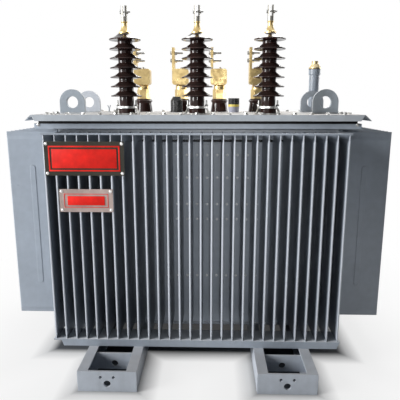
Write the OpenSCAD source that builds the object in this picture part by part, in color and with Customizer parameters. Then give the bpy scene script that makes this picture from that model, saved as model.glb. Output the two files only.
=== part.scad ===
// Oil-filled, sealed power transformer with a corrugated fin tank, in millimetres.
// X runs along the tank, -Y is the high-voltage front, Z is up from the floor.

/* [Tank] */
// Length of the tank shell outside, along X
tank_l = 1270; // [1050:1:1500]
// Depth of the tank shell outside, along Y
tank_d = 600; // [500:1:720]
// Thickness of the shell walls
wall_t = 14; // [8:1:20]
// Thickness of the floor plate
floor_t = 10; // [6:1:16]
// Plain wall left above the fin tops
wall_over = 16; // [8:1:30]

/* [Cooling fins] */
// Distance from fin to fin
fin_pitch = 45; // [38:1:60]
// Least plain wall left beside the outer fins
fin_end = 2; // [1:0.5:20]
// Thickness of one hollow fin outside
fin_t = 10; // [7:0.5:14]
// How far the fins stand out from the shell
fin_depth = 215; // [150:1:280]
// Height of the fins
fin_h = 882; // [700:1:1100]
// Height of the fin feet above the floor plate
fin_rise = 22; // [16:1:40]
// How much higher the end fins' feet lie than the front fins' feet
end_fin_lift = 22; // [0:1:60]
// Thickness of a fin where its ends are pressed shut
pinch_t = 4; // [2:0.5:6]
// Height of the pressed strip at the top of a fin
pinch_top = 20; // [10:1:40]
// Height of the pressed strip at the foot of a fin
pinch_foot = 10; // [6:1:30]
// Height over which a pressed strip opens to the full fin
pinch_slope = 14; // [6:1:30]
// Width of the long bead pressed in each fin
bead_w = 24; // [12:1:40]
// How far the bead stands out on each side
bead_rise = 1.5; // [0.5:0.1:3]
// Plain fin above and below the bead
bead_margin = 150; // [100:1:250]
// Height of the groove under the top frame strip
groove_h = 9; // [5:1:15]
// Depth of that groove
groove_depth = 7; // [3:1:7]
// Drop from the fin tops to the top of the groove
groove_drop = 46; // [30:1:80]

/* [Fin bars and rails] */
// Side of the square bar across the fin tops
bar_side = 8; // [6:1:12]
// How far bars and rails stop short of the front wall's ends
bar_short = 2.5; // [0:0.5:10]
// Depth of the rail shelf under the fin feet
rail_depth = 97; // [40:1:120]
// Thickness of the folded rail
rail_t = 5; // [3:1:8]
// How far the rail stands out in front of the fins
rail_proud = 3; // [1:1:8]
// How far the rail's front lip is cut in at its top corners
rail_inset = 15; // [5:1:40]
// How far the lip's ends slant in further at its lower edge
rail_slant = 12; // [5:1:40]
// How far the lip lies to the right of the fins' middle
rail_shift = 16; // [0:1:25]

/* [Rim and cover] */
// How far the rim flange stands out from the shell
rim_out = 62; // [50:1:90]
// Height of the rim flange
rim_h = 40; // [25:1:60]
// Thickness of the rim's top plate
rim_top_t = 10; // [6:1:16]
// Thickness of the rim's outer skirt
rim_skirt_t = 6; // [4:1:10]
// How far the rim's top plate is set in behind its skirt
rim_step = 14; // [6:1:20]
// Height of the groove over the skirt
rim_groove_h = 18; // [12:1:20]
// Thickness of the cover gasket
gasket_t = 11; // [3:1:15]
// How far the gasket lies in from the edge of the rim's top plate
gasket_inset = 8; // [3:1:15]
// Thickness of the cover plate
cover_t = 8; // [5:1:12]
// How far the flat cover reaches past the rim
cover_over = 10; // [4:1:25]
// How far the cover's lips bend down below its top
lip_drop = 26; // [15:1:40]
// How far the cover's front and rear lips lean outwards
lip_out = 12; // [4:1:25]
// How far the lips at the cover's ends lean outwards
end_lip_out = 35; // [4:1:45]
// Thickness of the lips, along the horizontal
lip_t = 6; // [3:1:8]
// How far the lips' ends slant in at their lower edge
lip_slant = 20; // [5:1:40]

/* [Lifting lugs] */
// Outer radius of a lug's round head
lug_r = 59; // [45:1:75]
// Thickness of a lug
lug_t = 22; // [10:1:30]
// Radius of the shackle hole
lug_hole_r = 27.5; // [15:0.5:32]
// Height of the hole's centre above the cover
lug_rise = 52; // [50:1:90]
// Distance of the lugs' middles in from the tank's ends
lug_in = 43; // [20:1:80]
// Distance of the front lugs' middles in from the tank's front wall
lug_front = 167; // [155:1:190]
// Distance of the rear lugs' middles in from the tank's rear wall
lug_rear = 130; // [125:1:160]

/* [High-voltage bushings] */
// Distance from bushing to bushing
hv_pitch = 312; // [260:1:330]
// Distance of the row in from the tank's front wall
hv_in = 35; // [25:1:60]
// Radius of the cast foot on the cover
hv_foot_r = 58; // [52:1:62]
// Thickness of the foot's ring
hv_foot_t = 5; // [4:1:10]
// Height of the foot from the cover to the clamp ring
hv_foot_h = 26; // [20:1:45]
// Number of legs that lean in from the foot's ring
hv_legs = 2; // [2:1:6]
// Thickness of a leg
hv_leg_t = 6; // [4:0.5:9]
// Angle that one leg covers
hv_leg_angle = 40; // [20:1:50]
// Radius of the porcelain core
hv_core_r = 30; // [22:1:34]
// Radius of the porcelain's foot under the clamp ring
hv_collar_r = 36; // [35:1:38]
// Thickness of the clamp ring
hv_clamp_t = 9; // [6:1:14]
// Radius of the clamp ring
hv_clamp_r = 46; // [45:1:50]
// Number of weather sheds
hv_sheds = 7; // [3:1:8]
// Distance from shed to shed
hv_shed_pitch = 39.4; // [34:0.1:46]
// Radius of the shed rims
hv_shed_r = 68; // [55:1:80]
// Thickness of the rounded shed rims
hv_rim_t = 7; // [4:0.5:10]
// Drop of a shed's upper side from the core to the rim
hv_shed_drop = 17; // [8:1:19]
// Rise of a shed's underside from the rim to the core
hv_shed_under = 7; // [2:0.5:10]
// Plain porcelain from the clamp ring's seat to the lowest shed rim
hv_neck = 53; // [30:1:80]
// Plain porcelain above the highest shed rim
hv_head = 24; // [20:1:40]
// Height of the conical brass cap
hv_cap_h = 50; // [30:1:70]
// Radius of the cap at its foot
hv_cap_r = 25; // [18:0.5:29]
// Radius of the cap at its top
hv_cap_top_r = 10; // [8:0.5:14]
// Height of the forked terminal
hv_fork_h = 64; // [40:1:90]
// Width of the forked terminal
hv_fork_w = 26; // [20:1:34]
// Width of the slot between its prongs
hv_slot_w = 10; // [6:1:14]
// Depth of that slot
hv_slot_h = 44; // [20:1:50]

/* [Low-voltage bushings] */
// Distance from bushing to bushing
lv_pitch = 208; // [180:1:230]
// Distance of the row in from the tank's rear wall
lv_in = 36; // [25:1:80]
// Radius of the porcelain at its foot and at its shed
lv_r = 47; // [42:1:55]
// Height of the porcelain
lv_h = 69; // [66:1:100]
// Height of the rim of its one shed
lv_shed_z = 58; // [45:1:60]
// Thickness of that rim
lv_rim_t = 6; // [4:0.5:10]
// How far the porcelain narrows under the shed
lv_waist = 7; // [3:1:9]
// Drop of the shed's underside from the waist to the rim
lv_shed_drop = 8; // [4:1:12]
// Radius of the porcelain's flat top
lv_top_r = 39; // [38:0.5:41]
// Radius of the brass nut over its corners
lv_nut_r = 36; // [32:0.5:37]
// Height of the brass nut
lv_nut_h = 50; // [15:1:60]
// Radius of the brass neck over the nut
lv_stem_r = 31; // [20:0.5:35]
// Height of the neck
lv_stem_h = 25; // [20:1:70]
// Radius of the neck's rounded shoulder
lv_shoulder_r = 10; // [4:1:14]
// Distance from the stem to the clamp's right face
lv_clamp_x = 40; // [34:1:48]
// Depth of the clamp, along Y
lv_clamp_d = 66; // [50:1:80]
// Height of the clamp
lv_clamp_h = 84; // [60:1:100]
// Radius of the clamp's corners
lv_corner_r = 13; // [6:1:20]
// Distance from the stem to the palm's outer face
lv_palm_x = 48; // [44:1:60]
// Thickness of the palm
lv_palm_t = 14; // [8:1:20]
// Width of the palm
lv_palm_w = 64; // [40:1:80]
// Height of the palm above the clamp
lv_palm_h = 110; // [80:1:140]
// Radius of the cable bolt holes in the palm
lv_hole_r = 7; // [5:0.5:9]
// Distance between the two bolt holes
lv_hole_pitch = 40; // [30:1:50]
// Distance of the upper hole below the palm's top
lv_hole_drop = 26; // [15:1:35]

/* [Filler, tap switch and valve] */
// Distance of the filler pipe in from the tank's right end
filler_in = 23; // [10:1:60]
// Distance of the filler pipe in from the tank's rear wall
filler_rear = 68; // [45:1:72]
// Radius of the filler pipe outside
filler_r = 27; // [18:1:29]
// Wall of the filler pipe
filler_wall = 4; // [2:0.5:6]
// Height of the filler pipe
filler_h = 224; // [120:1:260]
// Radius of the pipe's foot flange
filler_foot_r = 40; // [36:1:44]
// Thickness of the foot flange
filler_flange_t = 10; // [6:1:20]
// Radius of the top collar
filler_collar_r = 31; // [30:1:36]
// Height of the top collar
filler_collar_h = 27; // [15:1:40]
// Height over which the pipe widens to the collar
filler_taper = 6; // [3:1:12]
// Height of the brass cap
filler_cap_h = 41; // [34:1:60]
// Height of the cap's round skirt
filler_skirt_h = 9; // [5:1:12]
// Radius of the cap's shoulder, where its knob begins
filler_shoulder_r = 21; // [19:1:26]
// Radius of the cap's knob
filler_cap_r = 17; // [10:1:18]
// Height of the knob
filler_knob_h = 16; // [8:1:20]
// Place of the tap switch along X
tap_x = 180; // [170:1:200]
// Distance of the tap switch in front of the low-voltage row
tap_ahead = 94; // [85:1:140]
// Radius of the tap switch at its foot
tap_foot_r = 26; // [20:1:28]
// Radius of the tap switch at its ring
tap_r = 29; // [22:1:32]
// Height of the grey body
tap_body_h = 28; // [15:1:45]
// Height of the yellow index ring
tap_ring_h = 12; // [6:1:20]
// Height of the black knob
tap_knob_h = 32; // [20:1:50]
// Number of finger grooves round the knob
tap_grooves = 12; // [6:1:16]
// Radius of one finger groove
tap_groove_r = 4; // [2:0.5:5]
// Place of the relief valve along X
valve_x = -123; // [-150:1:-110]
// Distance of the relief valve in front of the low-voltage row
valve_ahead = 114; // [95:1:150]
// Radius of the valve's cap
valve_r = 31; // [26:0.5:36]
// Radius of the valve's flange on the cover
valve_flange_r = 34; // [32:0.5:40]
// Thickness of that flange
valve_flange_t = 6; // [4:0.5:10]
// Height of the valve
valve_h = 80; // [60:1:110]
// Height of the cap's rounded shoulder
valve_shoulder_h = 20; // [10:1:24]
// Radius of the cap's flat top
valve_top_r = 19; // [12:0.5:22]
// Number of ribs' grooves round the cap
valve_grooves = 14; // [8:1:18]
// Radius of one groove
valve_groove_r = 3; // [1.5:0.5:4]

/* [Plates] */
// Thickness of the rating plates
plate_t = 3; // [2:0.5:5]
// Width of the large plate
large_plate_w = 322; // [200:1:400]
// Height of the large plate
large_plate_h = 137; // [80:1:200]
// Height of the large plate's middle below the fin tops
large_plate_drop = 94; // [90:1:140]
// Distance of the plates' middle in from the tank's left end
plate_in = 190; // [180:1:260]
// Width of the small plate
small_plate_w = 219; // [120:1:300]
// Height of the small plate
small_plate_h = 95; // [60:1:140]
// Height of the small plate's middle below the fin tops
small_plate_drop = 266; // [240:1:400]

/* [Skids] */
// Height of the skid channels
skid_h = 88; // [70:1:120]
// Length of the skids, along Y
skid_l = 1430; // [1250:1:1600]
// Width of one skid over its two channels
skid_w = 237; // [200:1:280]
// Distance between the middles of the two skids
skid_gauge = 714; // [560:1:820]
// How far the skids lie to the right of the tank's middle
skid_shift = 12; // [-40:1:40]
// Width of a channel's flanges
flange_w = 42; // [30:1:55]
// Thickness of the channels
channel_t = 7; // [5:0.5:10]
// Thickness of the cross plates
cross_t = 8; // [6:1:14]
// Clear length of a roller pocket
pocket_l = 142; // [110:1:170]
// Radius of the roller axle holes
axle_r = 14; // [8:0.5:18]
// Height of the axle holes above the floor
axle_z = 34; // [28:1:45]
// Radius of the small holes in the end plates
pin_hole_r = 6; // [3:0.5:8]
// Distance between the two small holes
pin_hole_pitch = 52; // [40:1:80]
// Height of the small holes above the floor
pin_hole_z = 62; // [58:1:64]

/* [Hidden] */
$fn = 48;
// Clearance between curved faces that fit
fit_gap = 0.3;
// Extra length of cutting tools past the faces they cut
cut_over = 1;
skid_z = skid_h;
floor_z = skid_z + floor_t;
fin_z = floor_z + fin_rise;
fin_top_z = fin_z + fin_h;
wall_z = fin_top_z + wall_over;
wall_h = wall_z - floor_z;
rim_z = wall_z + rim_h;
gasket_z = rim_z + gasket_t;
cover_z = gasket_z + cover_t;
fin_front = tank_d / 2 + fin_depth;
front_sheet = tank_l - 2 * wall_t;
bar_l = front_sheet - 2 * bar_short;
rim_l = tank_l + 2 * rim_out;
rim_d = tank_d + 2 * rim_out;
rim_top_l = rim_l - 2 * rim_step;
rim_top_d = rim_d - 2 * rim_step;
rim_top_w = rim_out + wall_t - rim_step;
cover_l = rim_l + 2 * cover_over;
cover_d = rim_d + 2 * cover_over;
lug_x = tank_l / 2 - lug_in;
lug_front_y = lug_front - tank_d / 2;
lug_rear_y = tank_d / 2 - lug_rear;
hv_row = tank_d / 2 - hv_in;
hv_shed_h = hv_foot_h + hv_neck;
hv_h = hv_shed_h + (hv_sheds - 1) * hv_shed_pitch + hv_head;
hv_top_z = cover_z + hv_h;
lv_row = tank_d / 2 - lv_in;
lv_top_z = cover_z + lv_h;
tap_y = lv_row - tap_ahead;
valve_y = lv_row - valve_ahead;
filler_x = tank_l / 2 - filler_in;
filler_y = tank_d / 2 - filler_rear;
plate_x = tank_l / 2 - plate_in;
skid_left = skid_shift - skid_gauge / 2;
skid_right = skid_shift + skid_gauge / 2;
axle_plate_y = skid_l / 2 - cross_t - pocket_l;

paint = [0.60, 0.63, 0.66];
dark_porcelain = [0.16, 0.08, 0.06];
brass = [0.78, 0.64, 0.36];
tinned = [0.78, 0.79, 0.80];
black = [0.06, 0.06, 0.06];

function centred(i, count, pitch) = (i - (count - 1) / 2) * pitch;

// Number of fins that a wall of length l carries
function fins_on(l) = floor((l - fin_t - 2 * fin_end) / fin_pitch) + 1;

// Plan of one fin, rooted at y = 0 and rounded at its outer edge
module fin_plan() {
    translate([-fin_t / 2, fin_t / 2 - fin_depth])
        square([fin_t, fin_depth - fin_t / 2]);
    translate([0, fin_t / 2 - fin_depth])
        circle(d = fin_t);
}

// Front outline of one fin of height h: its foot and its top are pressed thin and welded shut
module fin_outline(h) {
    full = fin_t / 2;
    thin = pinch_t / 2;
    half = [[thin, 0], [thin, pinch_foot], [full, pinch_foot + pinch_slope],
        [full, h - pinch_top - pinch_slope], [thin, h - pinch_top], [thin, h]];
    polygon(concat(half, [for (i = [len(half) - 1:-1:0]) [-half[i][0], half[i][1]]]));
}

// Long rounded bead, half way out on the fin and proud on both of its sides
module fin_bead(h) {
    bead_l = h - 2 * bead_margin - bead_w;
    translate([-fin_t / 2 - bead_rise, -fin_depth / 2, bead_margin + bead_w / 2])
        rotate([90, 0, 90])
            linear_extrude(fin_t + 2 * bead_rise) {
                translate([-bead_w / 2, 0]) square([bead_w, bead_l]);
                circle(d = bead_w);
                translate([0, bead_l]) circle(d = bead_w);
            }
}

// A row of fins of height h along X that stands out towards -Y from the plane y = 0
module fin_row(count, h) {
    intersection() {
        linear_extrude(h)
            for (i = [0:count - 1]) translate([centred(i, count, fin_pitch), 0]) fin_plan();
        rotate([90, 0, 0])
            linear_extrude(fin_depth + cut_over)
                for (i = [0:count - 1]) translate([centred(i, count, fin_pitch), 0]) fin_outline(h);
    }
    for (i = [0:count - 1]) translate([centred(i, count, fin_pitch), 0, 0]) fin_bead(h);
}

// One corrugated wall, seen from outside: a sheet with a groove under its top strip, and its fins,
// whose feet lie higher by lift
module fin_wall(sheet_l, lift) {
    color(paint) {
        difference() {
            translate([-sheet_l / 2, 0, floor_z]) cube([sheet_l, wall_t, wall_h]);
            translate([-sheet_l / 2 - cut_over, -cut_over, fin_top_z - groove_drop - groove_h])
                cube([sheet_l + 2 * cut_over, groove_depth + cut_over, groove_h]);
        }
        translate([0, 0, fin_z + lift]) fin_row(fins_on(sheet_l), fin_h - lift);
    }
}

module front_fin_wall() translate([0, -tank_d / 2, 0]) fin_wall(front_sheet, 0);
module rear_fin_wall() rotate([0, 0, 180]) front_fin_wall();
module right_fin_wall() translate([tank_l / 2, 0, 0]) rotate([0, 0, 90]) fin_wall(tank_d, end_fin_lift);
module left_fin_wall() rotate([0, 0, 180]) right_fin_wall();

module tank_floor() {
    color(paint)
        translate([-tank_l / 2, -tank_d / 2, skid_z]) cube([tank_l, tank_d, floor_t]);
}

// Square bar welded across the outer corners of the fin tops
module front_fin_bar() {
    color(paint)
        translate([-bar_l / 2, -fin_front, fin_top_z]) cube([bar_l, bar_side, bar_side]);
}
module rear_fin_bar() rotate([0, 0, 180]) front_fin_bar();

// Folded rail: a shelf under the fin feet with a front lip that stands on the skids
module front_fin_rail() {
    lip_h = fin_z - skid_z;
    lip_top = bar_l / 2 - rail_inset;
    lip_foot = lip_top - rail_slant;
    front = -fin_front - rail_proud;
    color(paint) {
        translate([-bar_l / 2, front, fin_z - rail_t]) cube([bar_l, rail_depth, rail_t]);
        translate([rail_shift, front + rail_t, skid_z])
            rotate([90, 0, 0])
                linear_extrude(rail_t)
                    polygon([[-lip_foot, 0], [lip_foot, 0], [lip_top, lip_h], [-lip_top, lip_h]]);
    }
}
module rear_fin_rail() rotate([0, 0, 180]) front_fin_rail();

// Frame of width w between two rectangles with the same middle
module frame_plan(l, d, w) {
    difference() {
        square([l, d], center = true);
        square([l - 2 * w, d - 2 * w], center = true);
    }
}

// Rim: a bolting flange that steps out over a groove to its skirt, open from below
module tank_rim() {
    skirt_h = rim_h - rim_groove_h;
    color(paint)
        translate([0, 0, wall_z]) {
            translate([0, 0, rim_h - rim_top_t])
                linear_extrude(rim_top_t) frame_plan(rim_top_l, rim_top_d, rim_top_w);
            translate([0, 0, skirt_h - rim_skirt_t])
                linear_extrude(rim_groove_h + rim_skirt_t) frame_plan(rim_top_l, rim_top_d, rim_skirt_t);
            translate([0, 0, skirt_h - rim_skirt_t])
                linear_extrude(rim_skirt_t) frame_plan(rim_l, rim_d, rim_step + rim_skirt_t);
            linear_extrude(skirt_h) frame_plan(rim_l, rim_d, rim_skirt_t);
            linear_extrude(rim_h) frame_plan(tank_l, tank_d, wall_t);
        }
}

module cover_gasket() {
    color([0.08, 0.08, 0.08])
        translate([0, 0, rim_z])
            linear_extrude(gasket_t)
                frame_plan(rim_top_l - 2 * gasket_inset, rim_top_d - 2 * gasket_inset,
                    rim_top_w - gasket_inset);
}

// One bent lip along a cover edge of length l, leaning out by out towards -Y from y = 0
module cover_lip(l, out) {
    low = cover_t - lip_drop;
    intersection() {
        translate([-l / 2, 0, 0])
            rotate([90, 0, 90])
                linear_extrude(l)
                    polygon([[0, cover_t], [-out, low], [lip_t - out, low], [lip_t, cover_t]]);
        translate([0, lip_t, 0])
            rotate([90, 0, 0])
                linear_extrude(out + lip_t)
                    polygon([[-l / 2, cover_t], [lip_slant - l / 2, low], [l / 2 - lip_slant, low],
                        [l / 2, cover_t]]);
    }
}

// Flat cover plate with its four edges bent down and its corners open
module cover() {
    color(paint)
        translate([0, 0, gasket_z]) {
            translate([-cover_l / 2, -cover_d / 2, 0]) cube([cover_l, cover_d, cover_t]);
            for (turn = [0, 180]) rotate([0, 0, turn]) {
                translate([0, -cover_d / 2, 0]) cover_lip(cover_l, lip_out);
                rotate([0, 0, 90]) translate([0, -cover_l / 2, 0]) cover_lip(cover_d, end_lip_out);
            }
        }
}

// Lifting lug: an upright plate with a round head, bored for a shackle
module lug(x, y) {
    color(paint)
        translate([x, y + lug_t / 2, cover_z + lug_rise])
            rotate([90, 0, 0])
                difference() {
                    linear_extrude(lug_t) {
                        intersection() {
                            circle(r = lug_r);
                            translate([-lug_r, 0]) square([2 * lug_r, lug_r]);
                        }
                        translate([-lug_r, -lug_rise]) square([2 * lug_r, lug_rise]);
                    }
                    translate([0, 0, -cut_over]) cylinder(r = lug_hole_r, h = lug_t + 2 * cut_over);
                }
}

// Cast foot of a high-voltage bushing: a ring on the cover, and legs that lean in to the clamp ring
module hv_foot(i) {
    bore = hv_collar_r + fit_gap;
    color(tinned)
        translate([i * hv_pitch, -hv_row, cover_z]) {
            difference() {
                cylinder(r = hv_foot_r, h = hv_foot_t);
                translate([0, 0, -cut_over]) cylinder(r = bore, h = hv_foot_t + 2 * cut_over);
            }
            for (k = [0:hv_legs - 1])
                rotate([0, 0, k * 360 / hv_legs - hv_leg_angle / 2])
                    rotate_extrude(angle = hv_leg_angle)
                        polygon([[hv_foot_r - hv_leg_t, 0], [hv_foot_r, 0], [hv_clamp_r, hv_foot_h],
                            [hv_clamp_r - hv_leg_t, hv_foot_h]]);
        }
}

// Half section of one weather shed whose rim lies at height z
function shed_section(z) = [
    [hv_core_r, z - hv_rim_t / 2 + hv_shed_under],
    for (a = [-90:30:90]) [hv_shed_r - hv_rim_t / 2 * (1 - cos(a)), z + hv_rim_t / 2 * sin(a)],
    [hv_core_r, z + hv_rim_t / 2 + hv_shed_drop]];

// Glazed porcelain with its weather sheds, turned in one piece
module hv_porcelain(i) {
    color(dark_porcelain)
        translate([i * hv_pitch, -hv_row, cover_z])
            rotate_extrude()
                polygon(concat([[0, 0], [hv_collar_r, 0], [hv_collar_r, hv_foot_h], [hv_core_r, hv_foot_h]],
                    [for (k = [0:hv_sheds - 1]) each shed_section(hv_shed_h + k * hv_shed_pitch)],
                    [[hv_core_r, hv_h], [0, hv_h]]));
}

// Bright ring that clamps the porcelain's foot down
module hv_clamp(i) {
    color(tinned)
        translate([i * hv_pitch, -hv_row, cover_z + hv_foot_h])
            difference() {
                cylinder(r = hv_clamp_r, h = hv_clamp_t);
                translate([0, 0, -cut_over]) cylinder(r = hv_core_r + fit_gap, h = hv_clamp_t + 2 * cut_over);
            }
}

module hv_cap(i) {
    foot_h = hv_cap_h / 5;
    color(brass)
        translate([i * hv_pitch, -hv_row, hv_top_z])
            rotate_extrude()
                polygon([[0, 0], [hv_cap_r, 0], [hv_cap_r, foot_h], [hv_cap_top_r, hv_cap_h], [0, hv_cap_h]]);
}

// Tinned fork that grips the line conductor
module hv_terminal(i) {
    color(tinned)
        translate([i * hv_pitch, -hv_row, hv_top_z + hv_cap_h])
            difference() {
                cylinder(d = hv_fork_w, h = hv_fork_h);
                translate([-hv_slot_w / 2, -hv_fork_w, hv_fork_h - hv_slot_h])
                    cube([hv_slot_w, 2 * hv_fork_w, hv_slot_h + cut_over]);
            }
}

// Short porcelain that narrows to a waist under one weather shed
module lv_porcelain(i) {
    waist_r = lv_r - lv_waist;
    color(dark_porcelain)
        translate([i * lv_pitch, lv_row, cover_z])
            rotate_extrude()
                polygon(concat([[0, 0], [lv_r, 0], [waist_r, lv_shed_z - lv_rim_t / 2 - lv_shed_drop]],
                    [for (a = [-90:30:90]) [lv_r - lv_rim_t / 2 * (1 - cos(a)), lv_shed_z + lv_rim_t / 2 * sin(a)]],
                    [[lv_top_r, lv_h], [0, lv_h]]));
}

// Half section of the brass neck, with a rounded shoulder under the clamp
function neck_section() = concat([[0, 0], [lv_stem_r, 0]],
    [for (a = [0:22.5:90])
        [lv_stem_r - lv_shoulder_r * (1 - cos(a)), lv_stem_h - lv_shoulder_r * (1 - sin(a))]],
    [[0, lv_stem_h]]);

// Rectangle with round corners, from x = left to x = right and from y = 0 up
module rounded_plan(left, right, high, r) {
    translate([left, r]) square([right - left, high - 2 * r]);
    translate([left + r, 0]) square([right - left - 2 * r, high]);
    for (x = [left + r, right - r], y = [r, high - r]) translate([x, y]) circle(r = r);
}

// Brass terminal: hexagon nut, neck, clamp block and an upright palm with two bolt holes
module lv_terminal(i) {
    clamp_z = lv_nut_h + lv_stem_h;
    palm_l = lv_clamp_h + lv_palm_h;
    color(brass)
        translate([i * lv_pitch, lv_row, lv_top_z]) {
            cylinder(r = lv_nut_r, h = lv_nut_h, $fn = 6);
            translate([0, 0, lv_nut_h]) rotate_extrude() polygon(neck_section());
            translate([0, lv_clamp_d / 2, clamp_z])
                rotate([90, 0, 0])
                    linear_extrude(lv_clamp_d)
                        rounded_plan(-lv_palm_x, lv_clamp_x, lv_clamp_h, lv_corner_r);
            difference() {
                translate([-lv_palm_x, -lv_palm_w / 2, clamp_z + lv_corner_r])
                    cube([lv_palm_t, lv_palm_w, palm_l - lv_corner_r]);
                for (drop = [lv_hole_drop, lv_hole_drop + lv_hole_pitch])
                    translate([-lv_palm_x - cut_over, 0, clamp_z + palm_l - drop])
                        rotate([0, 90, 0]) cylinder(r = lv_hole_r, h = lv_palm_t + 2 * cut_over);
            }
        }
}

// Filler pipe, turned with a foot flange and a thicker collar under its cap
module filler_pipe() {
    bore_r = filler_r - filler_wall;
    collar_z = filler_h - filler_collar_h;
    color(paint)
        translate([filler_x, filler_y, cover_z])
            rotate_extrude()
                polygon([[bore_r, 0], [filler_foot_r, 0], [filler_foot_r, filler_flange_t],
                    [filler_r, filler_flange_t], [filler_r, collar_z - filler_taper],
                    [filler_collar_r, collar_z], [filler_collar_r, filler_h], [bore_r, filler_h]]);
}

// Brass cap with a round skirt, a conical shoulder and a knob to turn it by
module filler_cap() {
    knob_z = filler_cap_h - filler_knob_h;
    color(brass)
        translate([filler_x, filler_y, cover_z + filler_h])
            rotate_extrude()
                polygon([[0, 0], [filler_collar_r, 0], [filler_collar_r, filler_skirt_h],
                    [filler_shoulder_r, knob_z], [filler_cap_r, knob_z], [filler_cap_r, filler_cap_h],
                    [0, filler_cap_h]]);
}

module tap_body() {
    color(paint)
        translate([tap_x, tap_y, cover_z]) cylinder(r1 = tap_foot_r, r2 = tap_r, h = tap_body_h);
}

module tap_ring() {
    color([0.85, 0.72, 0.10])
        translate([tap_x, tap_y, cover_z + tap_body_h]) cylinder(r = tap_r + fit_gap, h = tap_ring_h);
}

// Upright grooves of radius r and height h, spread round a circle of radius at
module round_grooves(count, at, r, h) {
    for (k = [0:count - 1])
        rotate([0, 0, k * 360 / count]) translate([at, 0, -cut_over]) cylinder(r = r, h = h + 2 * cut_over);
}

// Black knob with finger grooves
module tap_knob() {
    color(black)
        translate([tap_x, tap_y, cover_z + tap_body_h + tap_ring_h])
            difference() {
                cylinder(r = tap_r, h = tap_knob_h);
                round_grooves(tap_grooves, tap_r + tap_groove_r / 2, tap_groove_r, tap_knob_h);
            }
}

// Relief valve: a flange on the cover, and a black ribbed cap with a sloping shoulder
module relief_valve() {
    shoulder_z = valve_h - valve_shoulder_h;
    barrel_h = shoulder_z - valve_flange_t;
    color(black)
        translate([valve_x, valve_y, cover_z]) {
            cylinder(r = valve_flange_r, h = valve_flange_t);
            translate([0, 0, valve_flange_t])
                difference() {
                    cylinder(r = valve_r, h = barrel_h);
                    round_grooves(valve_grooves, valve_r + valve_groove_r / 2, valve_groove_r, barrel_h);
                }
            translate([0, 0, shoulder_z]) cylinder(r1 = valve_r, r2 = valve_top_r, h = valve_shoulder_h);
        }
}

// Bare plate fixed across the fin edges
module fin_plate(w, h, drop) {
    color([0.30, 0.30, 0.26])
        translate([-plate_x - w / 2, -fin_front - fit_gap - plate_t, fin_top_z - drop - h / 2])
            cube([w, plate_t, h]);
}
module large_plate() fin_plate(large_plate_w, large_plate_h, large_plate_drop);
module small_plate() fin_plate(small_plate_w, small_plate_h, small_plate_drop);

// Channel along Y with its web at x = 0 and its flanges towards +X
module channel() {
    color(paint)
        translate([0, skid_l / 2 - cross_t, 0])
            rotate([90, 0, 0])
                linear_extrude(skid_l - 2 * cross_t)
                    difference() {
                        square([flange_w, skid_h]);
                        translate([channel_t, channel_t])
                            square([flange_w, skid_h - 2 * channel_t]);
                    }
}

module skid_right_inner() translate([skid_right - skid_w / 2, 0, 0]) channel();
module skid_right_outer() translate([skid_right + skid_w / 2, 0, 0]) mirror([1, 0, 0]) channel();
module skid_left_inner() translate([skid_left + skid_w / 2, 0, 0]) mirror([1, 0, 0]) channel();
module skid_left_outer() translate([skid_left - skid_w / 2, 0, 0]) channel();

// Outline of a cross plate of width w from height low to height high, with its axle hole
module axle_plate_plan(w, low, high) {
    difference() {
        translate([-w / 2, low]) square([w, high - low]);
        translate([0, axle_z]) circle(r = axle_r);
    }
}

// End plates and inner axle plates of one skid, in front and at the rear
module skid_plates(x) {
    inner_w = skid_w - 2 * channel_t;
    color(paint)
        for (turn = [0, 180]) translate([x, 0, 0]) rotate([0, 0, turn]) {
            translate([0, cross_t - skid_l / 2, 0])
                rotate([90, 0, 0])
                    linear_extrude(cross_t)
                        difference() {
                            axle_plate_plan(skid_w, 0, skid_h);
                            for (side = [-1, 1])
                                translate([side * pin_hole_pitch / 2, pin_hole_z]) circle(r = pin_hole_r);
                        }
            translate([0, -axle_plate_y + cross_t, 0])
                rotate([90, 0, 0])
                    linear_extrude(cross_t) axle_plate_plan(inner_w, channel_t, skid_h - channel_t);
        }
}

tank_floor();
front_fin_wall();
rear_fin_wall();
left_fin_wall();
right_fin_wall();
front_fin_bar();
rear_fin_bar();
front_fin_rail();
rear_fin_rail();
tank_rim();
cover_gasket();
cover();
lug(-lug_x, lug_front_y);  // lug_front_left
lug(lug_x, lug_front_y);  // lug_front_right
lug(-lug_x, lug_rear_y);  // lug_rear_left
lug(lug_x, lug_rear_y);  // lug_rear_right
hv_foot(-1);  // hv_foot_a
hv_foot(0);  // hv_foot_b
hv_foot(1);  // hv_foot_c
hv_porcelain(-1);  // hv_porcelain_a
hv_porcelain(0);  // hv_porcelain_b
hv_porcelain(1);  // hv_porcelain_c
hv_clamp(-1);  // hv_clamp_a
hv_clamp(0);  // hv_clamp_b
hv_clamp(1);  // hv_clamp_c
hv_cap(-1);  // hv_cap_a
hv_cap(0);  // hv_cap_b
hv_cap(1);  // hv_cap_c
hv_terminal(-1);  // hv_terminal_a
hv_terminal(0);  // hv_terminal_b
hv_terminal(1);  // hv_terminal_c
lv_porcelain(-1.5);  // lv_porcelain_a
lv_porcelain(-0.5);  // lv_porcelain_b
lv_porcelain(0.5);  // lv_porcelain_c
lv_porcelain(1.5);  // lv_porcelain_n
lv_terminal(-1.5);  // lv_terminal_a
lv_terminal(-0.5);  // lv_terminal_b
lv_terminal(0.5);  // lv_terminal_c
lv_terminal(1.5);  // lv_terminal_n
filler_pipe();
filler_cap();
tap_body();
tap_ring();
tap_knob();
relief_valve();
large_plate();
small_plate();
skid_left_outer();
skid_left_inner();
skid_right_inner();
skid_right_outer();
skid_plates(skid_left);  // skid_left_plates
skid_plates(skid_right);  // skid_right_plates
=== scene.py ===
import math
import random

import bmesh
import bpy
from mathutils import Matrix, Vector


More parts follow.
